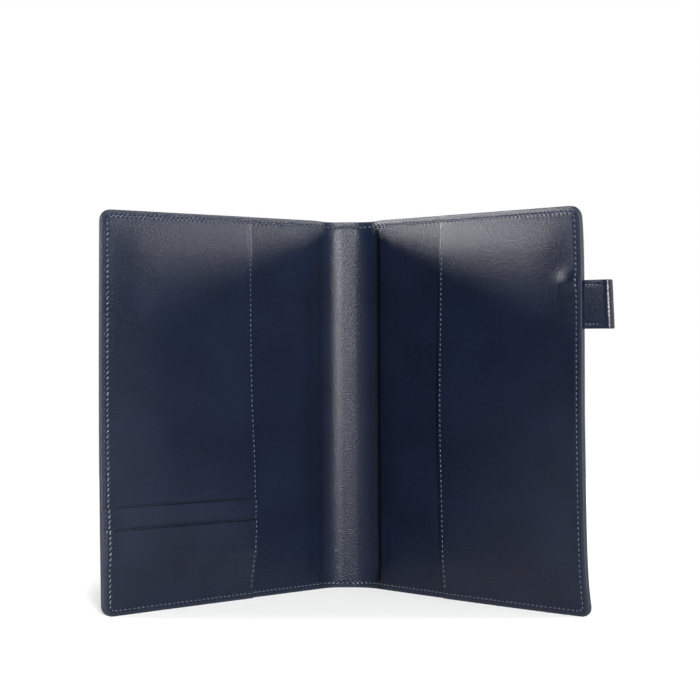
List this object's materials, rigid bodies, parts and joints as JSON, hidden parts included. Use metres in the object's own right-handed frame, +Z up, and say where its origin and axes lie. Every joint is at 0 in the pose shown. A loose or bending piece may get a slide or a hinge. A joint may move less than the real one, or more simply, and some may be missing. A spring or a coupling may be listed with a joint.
{
  "type": "passport holder",
  "caption": "Leather passport holder standing open like a book, with an inner pocket sewn to each cover, card slots on one pocket and a pen loop at one fore edge.",
  "frame": {"origin": "middle of the spine's bottom edge, on the seam between cover leather and lining, at the height of the surface it stands on", "axes": "+Z up along the spine, +X from the left cover to the right cover seen from the inside, -Y towards the open side between the covers"},
  "size_m": [0.1825, 0.0821, 0.145],
  "materials": {
    "cover_leather": "smooth, fine grain, satin",
    "lining_leather": "smooth, fine grain, satin",
    "pocket_leather": "smooth, fine grain, satin",
    "loop_leather": "smooth, fine grain, satin",
    "thread": "waxed polyester thread",
    "board": "bonded fibre board"
  },
  "bodies": {
    "spine": {"outer_cover_spine": "cover_leather", "lining_spine": "lining_leather", "outer_fold_left": "cover_leather", "outer_fold_right": "cover_leather", "lining_fold_left": "lining_leather", "lining_fold_right": "lining_leather", "needle_thread_spine": "thread", "bobbin_thread_spine": "thread"},
    "left_cover": {"outer_cover_left": "cover_leather", "stiffener_board_left": "board", "lining_left": "lining_leather", "pocket_left": "pocket_leather", "pocket_margin_left": "pocket_leather", "card_slot_upper": "pocket_leather", "card_slot_lower": "pocket_leather", "needle_thread_left": "thread", "bobbin_thread_left": "thread", "pocket_edge_thread_left": "thread"},
    "right_cover": {"outer_cover_right": "cover_leather", "stiffener_board_right": "board", "lining_right": "lining_leather", "pocket_right": "pocket_leather", "pocket_margin_right": "pocket_leather", "pen_loop_root": "loop_leather", "needle_thread_right": "thread", "bobbin_thread_right": "thread", "pocket_edge_thread_right": "thread"},
    "pen_loop": {"pen_loop": "loop_leather", "pen_loop_thread": "thread"}
  },
  "joints": [
    {"name": "left_cover_fold", "type": "hinge", "parent": "spine", "child": "left_cover", "pos_m": [-0.0075, 0, 0], "axis": [0, 0, 1], "range_deg": [-42, 48], "deforming": ["outer_fold_left", "lining_fold_left"]},
    {"name": "right_cover_fold", "type": "hinge", "parent": "spine", "child": "right_cover", "pos_m": [0.0075, 0, 0], "axis": [0, 0, -1], "range_deg": [-42, 48], "deforming": ["outer_fold_right", "lining_fold_right"]},
    {"name": "pen_loop_swing", "type": "hinge", "parent": "right_cover", "child": "pen_loop", "pos_m": [0.08533, -0.07048, 0.1107], "axis": [0, 0, -1], "range_deg": [-45, 45]}
  ]
}
